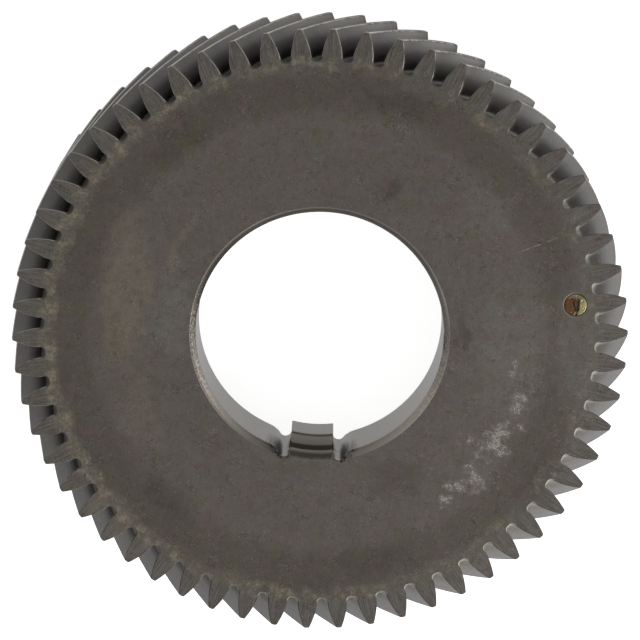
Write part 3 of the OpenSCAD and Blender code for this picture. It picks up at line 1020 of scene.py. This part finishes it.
def turnedRecess(add, where, f):
    # the back, turned and never touched again: dark rings under oil with a little brown rust
    height = add("SeparateXYZ", [where["Place"]]).outputs["Z"]
    along = add("Math", [where["Radius"], height], "ADD")
    cut = add("Math", [along, f["toolPitch"]], "DIVIDE")
    rings = add("TexNoise", [cut, 1, 2], noise_dimensions="1D")
    tone = mottled(add, where["Place"], f["mottles"])
    tone = add("Math", [rings, f["toolDepth"], tone], "MULTIPLY_ADD")
    cloud = add("TexNoise", [where["Place"], f["rustScale"], 5])
    rusty = add("MapRange", [cloud, *f["rustRange"]])
    colour = add("Mix", [rusty, f["steel"], f["rust"]], "RGBA")
    colour = add("VectorMath", [colour, tone], "SCALE")
    metallic = add("MapRange", [rusty, *f["metalRange"]])
    return colour, metallic, f["roughness"], rings


brassFinish = {
    "across": [(-3.6, "#5c3a25"), (-2.6, "#775433"), (-1.6, "#69482c"), (-0.9, "#6c5640"),
               (0.4, "#59472f"), (0.8, "#584a31"), (1.1, "#9c9068"), (2.4, "#a79d70"),
               (3.6, "#c2b890")],  # along X
    "strayScale": 0.9, "stray": 1.4,  # its bands stray by up to 0.7 mm either way
    "dulled": "#948a79",  # greyer towards the teeth, where nothing rubs it
    "dullRange": (1.8, 3.3),
    "verdigris": "#7e7a44", "greenRange": (0.6, 1.4),
    "mottles": [(1.6, 0.3), (0.5, 0.35)],
    "grime": "#3d2d1b",
    "metalRange": (0, 1, 0.8, 0.2), "roughness": 0.42,
    "bump": (0.4, 0.08),
}


def tarnishedBrass(add, where, f):
    # free-cutting brass, tarnished: olive-yellow where it is rubbed, red-brown where zinc has left it,
    # and dark in the gouges and pits as grime and painted shade
    local = add("VectorMath", [where["Place"], (*plugCentre, faceWidth)], "SUBTRACT")
    cloud = add("TexNoise", [local, f["strayScale"], 3])
    x, y = add("SeparateXYZ", [local]).outputs[:2]
    strayed = add("Math", [cloud, f["stray"], x], "MULTIPLY_ADD")
    strayed = add("Math", [strayed, f["stray"] / 2], "SUBTRACT")
    colour = stepped(add, strayed, f["across"])
    up = add("MapRange", [y, *f["dullRange"]])
    colour = add("Mix", [up, colour, f["dulled"]], "RGBA")
    right = add("MapRange", [x, *f["greenRange"]])
    green = add("Math", [up, right], "MULTIPLY")
    colour = add("Mix", [green, colour, f["verdigris"]], "RGBA")
    tone = mottled(add, local, f["mottles"])
    colour = add("VectorMath", [colour, tone], "SCALE")
    # the gouges and pits darken with their depth: grime, and painted shade in the hollows
    sunk = add("Attribute", attribute_name="grime").outputs["Fac"]
    colour = add("Mix", [sunk, colour, f["grime"]], "RGBA")
    metallic = add("MapRange", [sunk, *f["metalRange"]])
    return colour, metallic, f["roughness"], tone


steels = {
    "flank": makeFinish("groundSteel", groundFlank, flankFinish),
    "edge": makeFinish("wornEdge", wornEdge, edgeFinish),
    "face": makeFinish("oiledSteel", oiledFace, faceFinish),
    "bore": makeFinish("boredSteel", boredSteel, boreFinish),
    "recess": makeFinish("turnedSteel", turnedRecess, recessFinish),
}
gear = makeGear(steels)
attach(gear, "root")
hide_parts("gear")
print("gear dressed")

plug = makePlug(plugSizes, makeFinish("tarnishedBrass", tarnishedBrass, brassFinish))
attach(plug, "root")
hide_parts("brass_plug")
print("plug dressed")


# Floor, light and camera
stageSizes = {
    "floor": 6.0,
    "floorGap": 0.2 * mm,
    "paper": (0.8, 0.8, 0.8, 1),
    "skyStrength": 0.42,
    "keyPower": 22.0,
    "keySize": 1.0,
    "keyPlace": (1.2, -0.85, 0.9),
    "floorGlow": 0.86,  # what the eye sees of the floor beside its own light
    "poolGlow": 0.85,  # what the steel sees of it, in a pool round the gear
    "poolFrom": 0.05,
    "poolTo": 0.08,
}


def makeFloor():
    mesh = bpy.data.meshes.new("floor")
    half = stageSizes["floor"] / 2
    corners = [(-half, -half, 0), (half, -half, 0), (half, half, 0), (-half, half, 0)]
    mesh.from_pydata(corners, [], [(0, 1, 2, 3)])
    mesh.transform(Matrix.Translation((0, 0, cadBox[0].z - stageSizes["floorGap"])))
    floor = inScene("floor", mesh)
    paper = bpy.data.materials.new("whitePaper")
    add = emptied(paper)
    rays = add("LightPath")
    place = add("TexCoord").outputs["Object"]
    far = add("VectorMath", [place], "LENGTH").outputs["Value"]
    start, end, glow = (stageSizes["pool" + name] for name in ("From", "To", "Glow"))
    pool = add("MapRange", [far, start, end, glow, 0], interpolation_type="SMOOTHSTEP")
    steelSees = add("Math", [rays.outputs["Is Glossy Ray"], pool], "MULTIPLY")
    glowing = add("Math", [rays.outputs["Is Camera Ray"], stageSizes["floorGlow"], steelSees],
                  "MULTIPLY_ADD")
    matt = add("BsdfDiffuse", {"Color": stageSizes["paper"]})
    glow = add("Emission", {"Color": "#ffffff", "Strength": glowing})
    surface = add("AddShader", [matt, glow])
    add("OutputMaterial", {"Surface": surface})
    mesh.materials.append(paper)


def makeLight():
    world = bpy.data.worlds.new("paleSky")
    bpy.context.scene.world = world
    add = emptied(world)
    rays = add("LightPath")
    seen = add("Math", [rays.outputs["Is Camera Ray"], rays.outputs["Is Transmission Ray"]], "MAXIMUM")
    dim = add("Background", {"Color": "#ffffff", "Strength": stageSizes["skyStrength"]})
    white = add("Background", {"Color": "#ffffff", "Strength": 1.0})
    sky = add("MixShader", [seen, dim, white])
    add("OutputWorld", {"Surface": sky})
    light = bpy.data.lights.new("keyLight", "AREA")
    light.energy = stageSizes["keyPower"]
    light.size = stageSizes["keySize"]
    lamp = inScene("keyLight", light)
    lamp.location = stageSizes["keyPlace"]
    lamp.rotation_euler = (-lamp.location).to_track_quat("-Z", "Y").to_euler()


cameraSizes = {
    "lens": 168.9,
    "sensor": 36,
    "distance": 1.0045,
    "lean": 13.03,  # degrees off the gear's axis
    "bearing": 92.13,  # side that it leans to, from +X
    "turn": 3.98,  # the picture's top, from +Y
    "aim": (-0.07, 0.29),  # mm from the axis, where the view is centred
}


def makeCamera():
    data = bpy.data.cameras.new("camera")
    data.lens = cameraSizes["lens"]
    data.sensor_width = cameraSizes["sensor"]
    camera = inScene("camera", data)
    lean, bearing, turn = (radians(cameraSizes[k]) for k in ("lean", "bearing", "turn"))
    back = Vector((sin(lean) * cos(bearing), sin(lean) * sin(bearing), cos(lean)))
    right = Vector((-sin(turn), cos(turn), 0)).cross(back).normalized()
    up = back.cross(right)
    middle = Vector((*cameraSizes["aim"], faceWidth / 2)) * mm
    turned = Matrix((right, up, back)).transposed().to_4x4()
    camera.matrix_world = Matrix.Translation(middle + back * cameraSizes["distance"]) @ turned
    bpy.context.scene.camera = camera


makeFloor()
makeLight()
makeCamera()
bpy.context.scene.view_settings.view_transform = "Standard"
print("floor, light and camera set")
